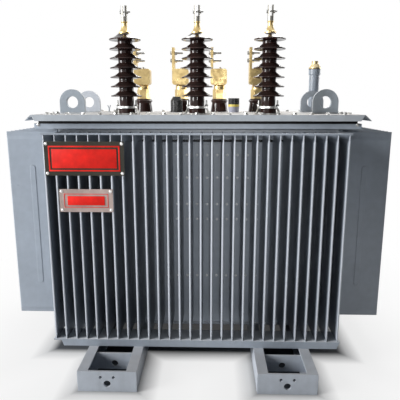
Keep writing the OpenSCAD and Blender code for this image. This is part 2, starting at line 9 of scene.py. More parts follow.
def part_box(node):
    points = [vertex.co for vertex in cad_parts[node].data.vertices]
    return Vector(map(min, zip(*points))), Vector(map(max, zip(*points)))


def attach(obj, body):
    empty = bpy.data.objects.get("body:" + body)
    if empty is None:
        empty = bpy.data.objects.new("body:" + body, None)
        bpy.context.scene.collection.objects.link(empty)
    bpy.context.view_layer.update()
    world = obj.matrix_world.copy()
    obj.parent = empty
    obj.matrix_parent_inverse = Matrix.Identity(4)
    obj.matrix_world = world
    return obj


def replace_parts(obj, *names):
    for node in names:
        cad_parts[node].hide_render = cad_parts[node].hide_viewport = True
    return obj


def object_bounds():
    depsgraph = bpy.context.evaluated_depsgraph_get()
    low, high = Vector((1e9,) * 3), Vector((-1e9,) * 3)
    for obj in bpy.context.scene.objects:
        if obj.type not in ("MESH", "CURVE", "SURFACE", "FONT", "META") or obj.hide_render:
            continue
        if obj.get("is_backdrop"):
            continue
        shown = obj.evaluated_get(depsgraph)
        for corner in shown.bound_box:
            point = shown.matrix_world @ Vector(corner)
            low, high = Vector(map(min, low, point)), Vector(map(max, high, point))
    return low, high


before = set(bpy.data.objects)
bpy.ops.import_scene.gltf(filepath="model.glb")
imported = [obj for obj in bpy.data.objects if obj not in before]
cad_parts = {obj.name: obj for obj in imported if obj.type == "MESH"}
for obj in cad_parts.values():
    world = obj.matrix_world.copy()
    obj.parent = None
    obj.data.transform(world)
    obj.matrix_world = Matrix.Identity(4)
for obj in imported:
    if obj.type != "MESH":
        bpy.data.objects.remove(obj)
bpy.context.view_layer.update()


# Skids
# Two skids of steel channel lie under the tank from front to rear, with plates welded across their ends.
# They are sprayed with grey enamel, and their edges are scuffed by handling.
def put(tree, kind, inputs=None, **options):
    """Adds a node with its options, and sets or links its inputs."""
    node = tree.nodes.new(kind)
    for option, value in options.items():
        setattr(node, option, value)
    for socket, value in (inputs or {}).items():
        if isinstance(value, bpy.types.NodeSocket):
            tree.links.new(value, node.inputs[socket])
        else:
            node.inputs[socket].default_value = value
    return node


def calc(tree, operation, first, second=0.0, clamp=False):
    """One sum on two values."""
    return put(tree, "ShaderNodeMath", {0: first, 1: second}, operation=operation, use_clamp=clamp).outputs[0]


def spread(tree, value, low, high, to_low=0.0, to_high=1.0):
    """Stretches the values from low to high over another range, and clamps them there."""
    inputs = {"Value": value, "From Min": low, "From Max": high, "To Min": to_low, "To Max": to_high}
    return put(tree, "ShaderNodeMapRange", inputs).outputs["Result"]


def speckle(tree, where, scale, detail):
    """Soft noise of about scale spots to the metre."""
    inputs = {"Vector": where, "Scale": scale, "Detail": detail}
    return put(tree, "ShaderNodeTexNoise", inputs).outputs["Fac"]


def lay_over(tree, mask, under, over):
    """The colour over laid on the colour under where the mask is 1."""
    return put(tree, "ShaderNodeMix", {0: mask, 6: under, 7: over}, data_type="RGBA").outputs[2]


def new_group(name, inputs, outputs):
    """An empty node group with named sockets, its inputs' sockets and its output node."""
    group = bpy.data.node_groups.new(name, "ShaderNodeTree")
    for socket, kind, value in inputs:
        group.interface.new_socket(socket, in_out="INPUT", socket_type=kind).default_value = value
    for socket, kind in outputs:
        group.interface.new_socket(socket, in_out="OUTPUT", socket_type=kind)
    return group, group.nodes.new("NodeGroupInput").outputs, group.nodes.new("NodeGroupOutput")


def give(group, sink, **values):
    """Links values to a group's outputs."""
    for socket, value in values.items():
        group.links.new(value, sink.inputs[socket])


# Sprayed enamel: cloudy tone, a fine orange peel and the slow waves of rolled sheet
enamel_skin, source, sink = new_group(
    "enamel_skin",
    [("Tone", "NodeSocketColor", (0.3, 0.34, 0.38, 1.0))],
    [("Color", "NodeSocketColor"), ("Roughness", "NodeSocketFloat"), ("Height", "NodeSocketFloat")])
where = put(enamel_skin, "ShaderNodeTexCoord").outputs["Object"]
broad = spread(enamel_skin, speckle(enamel_skin, where, 2.3, 3.0), 0.3, 0.7, -0.10, 0.08)
fine = spread(enamel_skin, speckle(enamel_skin, where, 31.0, 4.0), 0.3, 0.7, -0.05, 0.05)
level = calc(enamel_skin, "ADD", calc(enamel_skin, "ADD", broad, fine), 1.0)
toned = put(enamel_skin, "ShaderNodeHueSaturation",
            {"Color": source["Tone"], "Value": level}).outputs["Color"]
peel = calc(enamel_skin, "MULTIPLY", speckle(enamel_skin, where, 480.0, 1.0), 0.18)
waves = speckle(enamel_skin, where, 9.0, 1.0)
give(enamel_skin, sink, Color=toned,
     Roughness=spread(enamel_skin, speckle(enamel_skin, where, 12.0, 5.0), 0.25, 0.75, 0.27, 0.40),
     Height=calc(enamel_skin, "ADD", peel, waves))

# Edge wear: a broken line along the outer edges, found by comparing the normal with a rounded one
edge_wear, source, sink = new_group(
    "edge_wear",
    [("Width", "NodeSocketFloat", 0.003), ("Amount", "NodeSocketFloat", 0.5),
     ("Breaks", "NodeSocketFloat", 40.0)],
    [("Mask", "NodeSocketFloat")])
rounded = put(edge_wear, "ShaderNodeBevel", {"Radius": source["Width"]}, samples=4).outputs["Normal"]
facing = put(edge_wear, "ShaderNodeNewGeometry").outputs["Normal"]
turned = put(edge_wear, "ShaderNodeVectorMath", {0: rounded, 1: facing},
             operation="DOT_PRODUCT").outputs["Value"]
edge = spread(edge_wear, turned, 0.99, 0.80)
where = put(edge_wear, "ShaderNodeTexCoord").outputs["Object"]
breaks = put(edge_wear, "ShaderNodeTexNoise", {"Vector": where, "Scale": source["Breaks"], "Detail": 5.0})
broken = spread(edge_wear, breaks.outputs["Fac"], 0.42, 0.60)
give(edge_wear, sink, Mask=calc(edge_wear, "MULTIPLY", calc(edge_wear, "MULTIPLY", edge, broken),
                                source["Amount"], clamp=True))

# Settled dust: a patchy film on the faces that look up
settled_dust, source, sink = new_group(
    "settled_dust", [("Amount", "NodeSocketFloat", 0.5)], [("Mask", "NodeSocketFloat")])
facing = put(settled_dust, "ShaderNodeNewGeometry").outputs["Normal"]
upward = put(settled_dust, "ShaderNodeSeparateXYZ", {0: facing}).outputs["Z"]
where = put(settled_dust, "ShaderNodeTexCoord").outputs["Object"]
patchy = spread(settled_dust, speckle(settled_dust, where, 9.0, 6.0), 0.28, 0.68, 0.45, 1.0)
film = calc(settled_dust, "MULTIPLY", spread(settled_dust, upward, 0.55, 0.95), patchy)
give(settled_dust, sink, Mask=calc(settled_dust, "MULTIPLY", film, source["Amount"], clamp=True))

# Rain streaks: thin dirty runs down the upright faces
rain_streaks, source, sink = new_group(
    "rain_streaks", [("Amount", "NodeSocketFloat", 0.3)], [("Mask", "NodeSocketFloat")])
where = put(rain_streaks, "ShaderNodeTexCoord").outputs["Object"]
drawn = put(rain_streaks, "ShaderNodeMapping",
            {"Vector": where, "Scale": (26.0, 26.0, 1.1)}).outputs["Vector"]
runs = spread(rain_streaks, speckle(rain_streaks, drawn, 1.0, 2.0), 0.50, 0.80)
facing = put(rain_streaks, "ShaderNodeNewGeometry").outputs["Normal"]
upward = put(rain_streaks, "ShaderNodeSeparateXYZ", {0: facing}).outputs["Z"]
upright = spread(rain_streaks, calc(rain_streaks, "ABSOLUTE", upward), 0.2, 0.6, 1.0, 0.0)
give(rain_streaks, sink, Mask=calc(rain_streaks, "MULTIPLY", calc(rain_streaks, "MULTIPLY", runs, upright),
                                   source["Amount"], clamp=True))


def new_material(name):
    """A new material, its tree and its shader."""
    material = bpy.data.materials.new(name)
    material.use_nodes = True
    return material, material.node_tree, material.node_tree.nodes["Principled BSDF"]


def use(tree, group, **inputs):
    """Places a node group with its own values."""
    return put(tree, "ShaderNodeGroup", inputs, node_tree=group).outputs


def finish_surface(tree, shader, colour, roughness, height, bump, bevel):
    """Links colour, roughness and a bump over softly rounded edges to the shader."""
    soft = put(tree, "ShaderNodeBevel", {"Radius": bevel}, samples=4).outputs["Normal"]
    relief = put(tree, "ShaderNodeBump",
                 {"Strength": 1.0, "Distance": bump, "Height": height, "Normal": soft})
    tree.links.new(colour, shader.inputs["Base Color"])
    tree.links.new(roughness, shader.inputs["Roughness"])
    tree.links.new(relief.outputs["Normal"], shader.inputs["Normal"])


grey_tone = (0.330, 0.375, 0.436, 1.0)
grime_tone = (0.085, 0.083, 0.078, 1.0)
primer_tone = (0.55, 0.56, 0.57, 1.0)
dust_tone = (0.50, 0.46, 0.42, 1.0)


def grey_enamel(name, tone=grey_tone, dust=0.3, grime=0.25, wear=0.35, bevel=0.0016):
    """Grey sprayed enamel with dust on top, dirty runs and worn edges."""
    material, tree, shader = new_material(name)
    skin = use(tree, enamel_skin, Tone=tone)
    colour = lay_over(tree, use(tree, rain_streaks, Amount=grime)["Mask"], skin["Color"], grime_tone)
    colour = lay_over(tree, use(tree, edge_wear, Amount=wear)["Mask"], colour, primer_tone)
    dusty = use(tree, settled_dust, Amount=dust)["Mask"]
    colour = lay_over(tree, dusty, colour, dust_tone)
    roughness = calc(tree, "ADD", skin["Roughness"], calc(tree, "MULTIPLY", dusty, 0.35), clamp=True)
    finish_surface(tree, shader, colour, roughness, skin["Height"], bump=0.0004, bevel=bevel)
    shader.inputs["Coat Weight"].default_value = 0.15
    shader.inputs["Coat Roughness"].default_value = 0.22
    return material


def dress(material, *names):
    """Gives CAD nodes a finish."""
    for name in names:
        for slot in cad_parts[name].material_slots:
            slot.material = material


def join_rings(bm, rings):
    """Skins rings of equally many points, and closes both ends."""
    for first, second in zip(rings, rings[1:]):
        for k in range(len(first)):
            near = k - 1
            bm.faces.new((first[near], first[k], second[k], second[near]))
    bm.faces.new(list(reversed(rings[0])))
    bm.faces.new(rings[-1])


def round_points(place, radius, height, sides):
    """Points round the z axis of a place."""
    angles = [2.0 * math.pi * k / sides for k in range(sides)]
    return [place @ Vector((radius * math.cos(a), radius * math.sin(a), height)) for a in angles]


def facing_place(point, direction, turn=0.0):
    """A place at a point whose z axis runs in a direction, turned about it."""
    aim = Vector(direction).to_track_quat("Z", "Y").to_matrix().to_4x4()
    return Matrix.Translation(Vector(point)) @ aim @ Matrix.Rotation(turn, 4, "Z")


def add_weld(bm, start, end, radius, step=0.0035):
    """Adds a rippled run of weld from start to end, thin at both ends."""
    run = Vector(end) - Vector(start)
    count = max(4, round(run.length / step))
    rings = []
    for i in range(count + 1):
        thin = min(1.0, (i + 0.8) / 3.0, (count - i + 0.8) / 3.0)
        ripple = 1.0 + 0.14 * math.sin(2.2 * i) + 0.08 * math.sin(0.71 * i + 1.0)
        place = facing_place(Vector(start) + run * (i / count), run)
        rings.append([bm.verts.new(p) for p in round_points(place, radius * thin * ripple, 0.0, 8)])
    join_rings(bm, rings)


sharp_edge = math.radians(35.0)


def add_piece(name, bm, material):
    """Makes a piece of the mesh, smooth but for its sharp edges, that rides on the transformer."""
    bmesh.ops.recalc_face_normals(bm, faces=bm.faces)
    mesh = bpy.data.meshes.new(name)
    bm.to_mesh(mesh)
    bm.free()
    mesh.shade_smooth()
    mesh.set_sharp_from_angle(angle=sharp_edge)
    mesh.materials.append(material)
    piece = bpy.data.objects.new(name, mesh)
    bpy.context.scene.collection.objects.link(piece)
    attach(piece, "root")
    return piece


skid_tone = (0.49, 0.535, 0.60, 1.0)
skid_enamel = grey_enamel("skid_enamel", skid_tone, dust=0.4, grime=0.14, wear=0.8)
dress(skid_enamel, "skid_left_outer", "skid_left_inner", "skid_right_inner", "skid_right_outer",
      "skid_left_plates", "skid_right_plates")
end_plate_t = 0.008
skid_weld_r = 0.003
skid_weld_in = 0.006
welds = bmesh.new()
for side in ("left", "right"):
    low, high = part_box(f"skid_{side}_plates")
    for x in (low.x, high.x):
        for y in (low.y + end_plate_t, high.y - end_plate_t):
            add_weld(welds, (x, y, low.z + skid_weld_in), (x, y, high.z - skid_weld_in), skid_weld_r)
add_piece("skid_end_welds", welds, skid_enamel)


# Tank floor and corrugated walls
# The walls are thin steel sheet folded into deep hollow fins that cool the oil, pressed shut and welded at
# their ends. Four sheets are welded together at the corners and to the floor plate, then sprayed with enamel.
# Spot welds painted near white as a painted highlight, and a bead painted near black as a painted shadow
# line, show between the fins. The fin sides carry painted shade and the fin edges and tops a painted
# highlight, and the front and rear walls a lighter grey than the end walls as painted light.
def repaint(material, mask, tone):
    """Lays a tone over the colour of a finished material where the mask is 1."""
    tree = material.node_tree
    base = tree.nodes["Principled BSDF"].inputs["Base Color"]
    tree.links.new(lay_over(tree, mask, base.links[0].from_socket, tone), base)


def add_turned(bm, place, profile, sides=24):
    """Adds a turned form with a profile of (radius, height) along the z axis of a place."""
    join_rings(bm, [[bm.verts.new(p) for p in round_points(place, r, z, sides)] for r, z in profile])


def evenly(count, pitch):
    """Places along a line at a pitch, as many on one side of the middle as on the other."""
    return [(k - (count - 1) / 2) * pitch for k in range(count)]


tank_enamel = grey_enamel("tank_enamel", dust=0.35, grime=0.04, wear=0.25, bevel=0.004)
dress(tank_enamel, "tank_floor", "left_fin_wall", "right_fin_wall")
floor_low, floor_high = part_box("tank_floor")
front_low, front_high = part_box("front_fin_wall")
fin_count = 28
fin_pitch = 0.045
fin_depth = 0.215
fin_tip = -front_low.y
fin_root = fin_tip - fin_depth
gap_places = evenly(fin_count - 1, fin_pitch)

# Painted light and shade: a lighter grey on the front and rear walls than on the end walls, a darker tone on
# the fin sides standing out from the wall, and a pale tone on the fin edges and the strip along the top.
fin_wall_lit_tone = (0.40, 0.455, 0.53, 1.0)
fin_side_shade_tone = (0.13, 0.15, 0.18, 1.0)
fin_tip_highlight_tone = (0.58, 0.62, 0.68, 1.0)
side_shade_from = 0.006
side_shade_full = 0.030
tip_depth = 0.009
top_strip_h = 0.018
fin_enamel = grey_enamel("fin_enamel", fin_wall_lit_tone, dust=0.35, grime=0.04, wear=0.25, bevel=0.004)
tree = fin_enamel.node_tree
where = put(tree, "ShaderNodeTexCoord").outputs["Object"]
apart = put(tree, "ShaderNodeSeparateXYZ", {0: where}).outputs
outward = calc(tree, "ABSOLUTE", apart["Y"])
facing = put(tree, "ShaderNodeNewGeometry").outputs["Normal"]
turned_out = calc(tree, "ABSOLUTE", put(tree, "ShaderNodeSeparateXYZ", {0: facing}).outputs["Y"])
painted_side_shade = spread(tree, outward, fin_root + side_shade_from, fin_root + side_shade_full, 0.0, 0.7)
at_tip = spread(tree, outward, fin_tip - tip_depth, fin_tip - 0.4 * tip_depth)
at_top = spread(tree, apart["Z"], front_high.z - top_strip_h, front_high.z - 0.8 * top_strip_h)
on_edge = calc(tree, "MULTIPLY", at_tip, spread(tree, turned_out, 0.6, 0.95))
repaint(fin_enamel, painted_side_shade, fin_side_shade_tone)
repaint(fin_enamel, calc(tree, "MAXIMUM", on_edge, at_top), fin_tip_highlight_tone)
dress(fin_enamel, "front_fin_wall", "rear_fin_wall")

corner_weld_r = 0.004
corner_weld_step = 0.006
welds = bmesh.new()
for x in (front_low.x, front_high.x):
    for y in (floor_low.y, floor_high.y):
        add_weld(welds, (x, y, front_low.z), (x, y, front_high.z), corner_weld_r, corner_weld_step)
for y in (floor_low.y, floor_high.y):
    add_weld(welds, (floor_low.x, y, floor_high.z), (floor_high.x, y, floor_high.z), corner_weld_r,
             corner_weld_step)
add_piece("tank_corner_welds", welds, tank_enamel)

weld_spot_rows = (0.336, 0.607, 0.677, 0.798, 0.900)
weld_spot_profile = [(0.0064, -0.001), (0.0061, 0.0010), (0.0048, 0.0025), (0.0024, 0.0034)]
weld_spots = bmesh.new()
for out in (-1.0, 1.0):
    for x in gap_places:
        for z in weld_spot_rows:
            place = facing_place((x, out * fin_root, z), (0.0, out, 0.0))
            add_turned(weld_spots, place, weld_spot_profile, sides=12)
# The spot welds are painted near white: a painted highlight for the glint on each dome.
weld_spot_glint_tone = (0.90, 0.92, 0.94, 1.0)
weld_spot_glint_paint = grey_enamel("weld_spot_glint_paint", weld_spot_glint_tone, dust=0.0, grime=0.0)
add_piece("tank_wall_spot_welds", weld_spots, weld_spot_glint_paint)

# A thin bead across each gap at the top of the wall is painted near black: a painted shadow line there.
seam_z = 0.963
seam_h = 0.011
seam_shadow_tone = (0.012, 0.013, 0.015, 1.0)
seam_shadow_paint = grey_enamel("seam_shadow_paint", seam_shadow_tone, dust=0.0, grime=0.3, wear=0.0)
for name, y in (("front", -fin_root), ("rear", fin_root)):
    seam = bmesh.new()
    for x in gap_places:
        add_weld(seam, (x - fin_pitch / 2, y, seam_z), (x + fin_pitch / 2, y, seam_z), seam_h / 2)
    add_piece(f"{name}_wall_top_seam", seam, seam_shadow_paint)


# Fin bars and rails
# A square bar is welded across the outer corners of the fin tops, and a folded rail under the fin feet, so
# that the fins keep their distance. Each fin is tacked to the bar with one short weld. The upward faces of
# the rails are painted pale in patches, painted light on the ledge.
dress(tank_enamel, "front_fin_bar", "rear_fin_bar")
rail_top_light_tone = (0.84, 0.87, 0.91, 1.0)
rail_enamel = grey_enamel("rail_enamel", dust=0.0, grime=0.04, wear=0.25, bevel=0.002)
# Painted light: the upward faces of the rails go pale in the patches of the dust mask.
repaint(rail_enamel, use(rail_enamel.node_tree, settled_dust, Amount=1.0)["Mask"], rail_top_light_tone)
dress(rail_enamel, "front_fin_rail", "rear_fin_rail")
tack_l = 0.009
tack_r = 0.0035
tack_step = 0.002
tacks = bmesh.new()
for name, inward in (("front_fin_bar", 1.0), ("rear_fin_bar", -1.0)):
    low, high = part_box(name)
    y = high.y if inward > 0 else low.y
    for x in evenly(fin_count, fin_pitch):
        add_weld(tacks, (x, y, low.z), (x, y + inward * tack_l, low.z), tack_r, tack_step)
add_piece("fin_bar_tacks", tacks, tank_enamel)


# Rim
# The rim is a steel bolting flange with a skirt, welded round the top of the walls. The groove above the
# skirt, under the edge of the cover, is painted near black and matt: painted shade in the recess. A
# round-headed earthing screw sits near each corner of the skirt, in front and at the rear.
def add_screw(bm, place, radius, height):
    """Adds a round screw head on a thin washer."""
    washer = 1.35 * radius
    add_turned(bm, place, [(washer, 0.0), (washer, 0.15 * height), (1.28 * radius, 0.2 * height)])
    dome = [(radius * math.cos(a), 0.2 * height + 0.8 * height * math.sin(a))
            for a in (math.radians(15.0 * k) for k in range(6))]
    add_turned(bm, place, dome)


def bright_zinc(name, tone, roughness, tarnish):
    """Zinc or tin on metal: a little cloudy, with dull spots."""
    dull_tone = (0.22, 0.21, 0.19, 1.0)
    material, tree, shader = new_material(name)
    where = put(tree, "ShaderNodeTexCoord").outputs["Object"]
    spots = spread(tree, speckle(tree, where, 90.0, 5.0), 0.45, 0.7)
    dull = calc(tree, "MULTIPLY", spots, tarnish)
    colour = lay_over(tree, dull, tone, dull_tone)
    rough = spread(tree, speckle(tree, where, 260.0, 3.0), 0.3, 0.7, roughness - 0.06, roughness + 0.10)
    finish_surface(tree, shader, colour, rough, speckle(tree, where, 700.0, 2.0), bump=0.0002, bevel=0.0006)
    shader.inputs["Metallic"].default_value = 1.0
    return material


rim_low, rim_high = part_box("tank_rim")
rim_skirt_h = 0.022
groove_z = rim_low.z + rim_skirt_h
groove_from = groove_z - 0.0012
groove_full = groove_z - 0.0004
groove_shade_tone = (0.010, 0.010, 0.011, 1.0)
groove_roughness = 0.9
rim_tone = (0.385, 0.437, 0.508, 1.0)
rim_enamel = grey_enamel("rim_enamel", rim_tone, dust=0.35, grime=0.06, wear=0.25)
tree = rim_enamel.node_tree
shader = tree.nodes["Principled BSDF"]
where = put(tree, "ShaderNodeTexCoord").outputs["Object"]
level = put(tree, "ShaderNodeSeparateXYZ", {0: where}).outputs["Z"]
# Painted shade: the groove above the skirt turns near black.
painted_groove_shade = spread(tree, level, groove_from, groove_full)
repaint(rim_enamel, painted_groove_shade, groove_shade_tone)
sheen = shader.inputs["Roughness"].links[0].from_socket
matt = calc(tree, "MULTIPLY", painted_groove_shade, groove_roughness)
tree.links.new(calc(tree, "MAXIMUM", sheen, matt), shader.inputs["Roughness"])
dress(rim_enamel, "tank_rim")
bolt_zinc = bright_zinc("bolt_zinc", (0.52, 0.52, 0.51, 1.0), roughness=0.30, tarnish=0.5)
earth_screw_in = 0.018
earth_screw_up = 0.017
earth_screw_r = 0.0055
earth_screw_h = 0.006
screws = bmesh.new()
for x in (rim_low.x + earth_screw_in, rim_high.x - earth_screw_in):
    for y, out in ((rim_low.y, -1.0), (rim_high.y, 1.0)):
        place = facing_place((x, y, rim_low.z + earth_screw_up), (0.0, out, 0.0))
        add_screw(screws, place, earth_screw_r, earth_screw_h)
add_piece("rim_earth_screws", screws, bolt_zinc)


# Cover gasket
# A flat strip of black rubber lies between rim and cover and seals the oil in.
# It is cut from sheet and squeezed by the cover bolts, so its edge is dull and a little uneven.
rubber_tone = (0.012, 0.012, 0.013, 1.0)
chalky_tone = (0.035, 0.034, 0.032, 1.0)
gasket_rubber, tree, shader = new_material("gasket_rubber")
where = put(tree, "ShaderNodeTexCoord").outputs["Object"]
chalky = spread(tree, speckle(tree, where, 40.0, 5.0), 0.35, 0.7)
colour = lay_over(tree, chalky, rubber_tone, chalky_tone)
rough = spread(tree, speckle(tree, where, 120.0, 3.0), 0.3, 0.7, 0.65, 0.85)
finish_surface(tree, shader, colour, rough, speckle(tree, where, 300.0, 3.0), bump=0.0005, bevel=0.001)
dress(gasket_rubber, "cover_gasket")


# Cover and its bolts
# The cover is flat steel plate whose edges are bent down over the rim. It is dusty on top.
# Zinc-plated hexagon bolts with washers hold it down all the way round, one to every hand's breadth of rim.
# A small forked clip is welded on at the rear left.
def add_hexagon(bm, place, radius, low, high):
    """Adds a hexagon nut or head along the z axis of a place, with its upper corners turned off."""
    cut = 0.12 * radius
    profile = [(radius, low), (radius, high - cut), (radius - 1.3 * cut, high)]
    add_turned(bm, place, profile, sides=6)


def add_bolt(bm, place, radius, head, washer):
    """Adds a hexagon head on its washer."""
    washer_t = 0.0024
    add_turned(bm, place, [(washer, 0.0), (washer, 0.75 * washer_t), (washer - 0.25 * washer_t, washer_t)])
    add_hexagon(bm, place, radius, washer_t, washer_t + head)


cover_tone = (0.500, 0.540, 0.585, 1.0)
cover_enamel = grey_enamel("cover_enamel", cover_tone, dust=0.85, grime=0.08, wear=0.4)
cover_shader = cover_enamel.node_tree.nodes["Principled BSDF"]
cover_shader.inputs["Coat Weight"].default_value = 0.0
cover_shader.inputs["Specular IOR Level"].default_value = 0.08
dress(cover_enamel, "cover")
cover_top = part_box("cover")[1].z
bolt_row_in = 0.031
bolt_pitch = 0.070
bolts_along = 19
bolts_across = 9
bolt_r = 0.0085
bolt_head = 0.0070
bolt_washer = 0.0105
row_x = rim_high.x - bolt_row_in
row_y = rim_high.y - bolt_row_in
along = evenly(bolts_along, bolt_pitch)
across = evenly(bolts_across, bolt_pitch)
bolt_rows = {"front": [(x, -row_y) for x in along], "rear": [(x, row_y) for x in along],
             "left": [(-row_x, y) for y in across], "right": [(row_x, y) for y in across]}
turns = random.Random(7)
for name, places in bolt_rows.items():
    row = bmesh.new()
    for x, y in places:
        place = facing_place((x, y, cover_top), (0, 0, 1), turns.uniform(0.0, 1.0))
        add_bolt(row, place, bolt_r, bolt_head, bolt_washer)
    add_piece(f"cover_bolts_{name}", row, bolt_zinc)

clip_x = -0.507
clip_y = 0.264
clip_stem_h = 0.018
clip_prong_l = 0.022
clip_foot_r = 0.009
clip_prong_r = 0.0026
clip_splay = 0.38
clip_stem = [(clip_foot_r, 0.0), (clip_foot_r, 0.002), (0.0036, 0.0026), (0.0032, clip_stem_h),
             (0.002, clip_stem_h + 0.002)]
clip_prong = [(0.0022, 0.0), (clip_prong_r, 0.004), (clip_prong_r, clip_prong_l - 0.002),
              (0.0016, clip_prong_l)]
clip = bmesh.new()
add_turned(clip, facing_place((clip_x, clip_y, cover_top), (0, 0, 1)), clip_stem)
for way in (-1.0, 1.0):
    place = facing_place((clip_x, clip_y, cover_top + clip_stem_h - 0.003), (clip_splay * way, 0.0, 1.0))
    add_turned(clip, place, clip_prong, sides=12)
add_piece("cover_clip", clip, cover_enamel)


# Lifting lugs
# Four lugs of thick plate are flame-cut, bored for a shackle and welded to the cover before it is sprayed.
# Slings have rubbed the paint at the holes and heads. The four lugs take different greys as painted light and
# shade, for how each is lit.
lug_light_and_shade_tones = {"front_left": (0.37, 0.42, 0.475, 1.0), "front_right": (0.64, 0.72, 0.80, 1.0),
             "rear_left": (0.60, 0.64, 0.70, 1.0), "rear_right": (0.37, 0.41, 0.46, 1.0)}
lug_weld_r = 0.005
welds = bmesh.new()
for corner, tone in lug_light_and_shade_tones.items():
    name = f"lug_{corner}"
    dress(grey_enamel(f"{name}_enamel", tone, dust=0.4, grime=0.08, wear=0.6), name)
    low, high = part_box(name)
    for y in (low.y, high.y):
        add_weld(welds, (low.x, y, cover_top), (high.x, y, cover_top), lug_weld_r)
    for x in (low.x, high.x):
        add_weld(welds, (x, low.y, cover_top), (x, high.y, cover_top), lug_weld_r)
add_piece("lug_welds", welds, cover_enamel)


# High-voltage bushings
# Each is brown glazed porcelain, turned with seven hollow-backed weather sheds, held by a bright ring on a
# cast foot. Two studs with nuts pull the ring down. A brass bell on top carries a tinned fork with its bolt.
def brown_glaze(name):
    """Dark brown glaze, thinner and redder at the rims, with a deep gloss."""
    deep_tone = (0.016, 0.007, 0.006, 1.0)
    pooled_tone = (0.030, 0.011, 0.009, 1.0)
    thin_tone = (0.11, 0.038, 0.026, 1.0)
    material, tree, shader = new_material(name)
    where = put(tree, "ShaderNodeTexCoord").outputs["Object"]
    pooled = spread(tree, speckle(tree, where, 26.0, 4.0), 0.3, 0.7)
    colour = lay_over(tree, pooled, deep_tone, pooled_tone)
    thin = use(tree, edge_wear, Width=0.006, Amount=0.8, Breaks=12.0)["Mask"]
    colour = lay_over(tree, thin, colour, thin_tone)
    dusty = use(tree, settled_dust, Amount=0.05)["Mask"]
    colour = lay_over(tree, dusty, colour, dust_tone)
    rough = spread(tree, speckle(tree, where, 60.0, 4.0), 0.3, 0.7, 0.08, 0.15)
    finish_surface(tree, shader, colour, rough, speckle(tree, where, 45.0, 2.0), bump=0.0003, bevel=0.0015)
    shader.inputs["Specular IOR Level"].default_value = 0.32
    return material


def worn_brass(name, tone, roughness, tarnish):
    """Cast and turned brass with brown tarnish in patches and rubbed edges."""
    brown_tone = (0.30, 0.17, 0.055, 1.0)
    rubbed_tone = (0.95, 0.83, 0.55, 1.0)
    material, tree, shader = new_material(name)
    where = put(tree, "ShaderNodeTexCoord").outputs["Object"]
    patches = calc(tree, "MULTIPLY", spread(tree, speckle(tree, where, 34.0, 6.0), 0.42, 0.68), tarnish)
    colour = lay_over(tree, patches, tone, brown_tone)
    rubbed = use(tree, edge_wear, Width=0.002, Amount=0.6, Breaks=70.0)["Mask"]
    colour = lay_over(tree, rubbed, colour, rubbed_tone)
    rough = calc(tree, "ADD", calc(tree, "MULTIPLY", patches, 0.2),
                 spread(tree, speckle(tree, where, 180.0, 3.0), 0.3, 0.7, roughness - 0.05, roughness + 0.08))
    finish_surface(tree, shader, colour, rough, speckle(tree, where, 420.0, 3.0), bump=0.0002, bevel=0.0012)
    shader.inputs["Metallic"].default_value = 1.0
    return material


shed_count = 7
shed_pitch = 0.0394
shed_first = 0.079
shed_r = 0.068
shed_core_r = 0.0308
shed_drop = 0.0180
rim_half = 0.0028
foot_r = 0.036
foot_h = 0.026


def shed_profile(rim):
    """One weather shed with its rim at a height: flat below, round at the rim, hollow above."""
    below = [(shed_core_r, rim + 0.0022), (shed_core_r + 0.002, rim + 0.0002), (0.05, rim - 0.0014),
             (shed_r - 0.004, rim - 0.0030), (shed_r - 0.0015, rim - rim_half)]
    edge = [(shed_r - rim_half * (1.0 - math.cos(a)), rim + rim_half * math.sin(a))
            for a in (math.radians(30.0 * k) for k in range(-2, 3))]
    outer = shed_r - 0.004
    inner = shed_core_r + 0.0006
    above = [(outer + (inner - outer) * part, rim + rim_half + 0.0004 + shed_drop * part ** 1.4)
             for part in (k / 9.0 for k in range(1, 10))]
    return below + edge + above


def core_swell(low, high):
    """The core between two sheds, a little fuller in the middle."""
    parts = [k / 5.0 for k in range(1, 5)]
    return [(shed_core_r + 0.0009 * math.sin(math.pi * t), low + (high - low) * t) for t in parts]


def porcelain_profile(height):
    """The outline of a whole bushing from its foot to its head."""
    points = [(foot_r, 0.0), (foot_r, foot_h - 0.001), (foot_r - 0.001, foot_h - 0.0002),
              (shed_core_r - 0.001, foot_h - 0.0002)]
    points += core_swell(foot_h + 0.009, shed_first)
    for k in range(shed_count):
        rim = shed_first + k * shed_pitch
        points += shed_profile(rim)
        if k < shed_count - 1:
            points += core_swell(rim + rim_half + shed_drop, rim + shed_pitch)
    return points + [(shed_core_r - 0.0005, height - 0.0012), (shed_core_r - 0.002, height)]


def bell_profile(height):
    """The outline of the brass bell: a flat foot ring, a hollow flank and a collar that carries the fork."""
    foot, flare, neck, collar = 0.0250, 0.0225, 0.0108, 0.0134
    flank = [(neck + (flare - neck) * (1.0 - part) ** 2.2, 0.008 + (height - 0.016) * part)
             for part in (k / 8.0 for k in range(9))]
    return [(foot, 0.0), (foot, 0.0062), (foot - 0.0010, 0.0074)] + flank + [
        (neck, height - 0.0065), (collar - 0.0006, height - 0.0055), (collar, height - 0.0045),
        (collar, height - 0.0008), (collar - 0.0006, height)]


